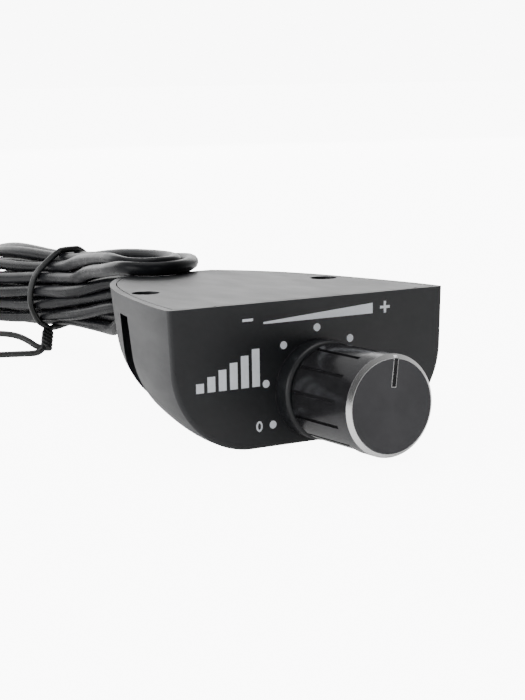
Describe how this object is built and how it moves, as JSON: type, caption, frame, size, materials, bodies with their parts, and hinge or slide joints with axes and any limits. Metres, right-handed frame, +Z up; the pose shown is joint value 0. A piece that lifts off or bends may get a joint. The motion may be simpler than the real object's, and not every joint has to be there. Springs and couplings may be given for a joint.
{
  "type": "wired rotary level control",
  "caption": "Wired rotary level control box with a fluted knob, a flush cover to screw under a dashboard, and a tied hank of thin cable ending in a round plug.",
  "frame": {"origin": "below the middle of the housing and knob, on the plane the box stands on", "axes": "+Z up to the mounting cover, -Y towards the knob, +X to the right seen from the knob side"},
  "size_m": [0.0534, 0.2745, 0.0274],
  "materials": {
    "housing_plastic": "fine matte texture",
    "board_laminate": "solder mask",
    "plated_steel": "zinc plated",
    "pot_plastic": "moulded",
    "nickel_plating": "nickel plated",
    "wafer_laminate": "phenolic laminate with carbon track",
    "shaft_metal": "turned",
    "spring_bronze": "stamped",
    "knob_aluminium": "black anodised, turned front, bright cut chamfer",
    "insert_plastic": "moulded",
    "relief_rubber": "matte",
    "cable_jacket": "satin",
    "tie_nylon": "natural nylon",
    "wire_insulation": "satin",
    "tie_coating": "satin",
    "plug_plastic": "moulded",
    "contact_metal": "nickel plated"
  },
  "bodies": {
    "housing": {"housing_shell": "housing_plastic", "screw_boss_right": "housing_plastic", "screw_boss_left": "housing_plastic", "top_cover": "housing_plastic", "circuit_board": "board_laminate", "board_screws": "plated_steel", "pot_plate": "plated_steel", "pot_case": "pot_plastic", "pot_bushing": "nickel_plating", "pot_wafer": "wafer_laminate", "pot_terminals": "nickel_plating", "lock_washer": "plated_steel", "panel_nut": "nickel_plating", "strain_relief": "relief_rubber", "cable_inside": "cable_jacket", "inner_tie": "tie_nylon", "lead_wires": "wire_insulation", "cable_lead": "cable_jacket", "cable_hank": "cable_jacket", "cable_end": "cable_jacket", "twist_tie": "tie_coating", "plug_grip": "plug_plastic", "plug_sleeve": "contact_metal", "plug_ring": "contact_metal", "plug_tip": "contact_metal", "plug_insulators": "plug_plastic"},
    "knob": {"pot_shaft": "shaft_metal", "wiper_carrier": "pot_plastic", "wiper_springs": "spring_bronze", "knob_sleeve": "knob_aluminium", "knob_insert": "insert_plastic"}
  },
  "joints": [
    {"name": "knob_turn", "type": "hinge", "parent": "housing", "child": "knob", "pos_m": [0.0008, -0.02, 0.00805], "axis": [0, 1, 0], "range_deg": [-127, 113]}
  ]
}
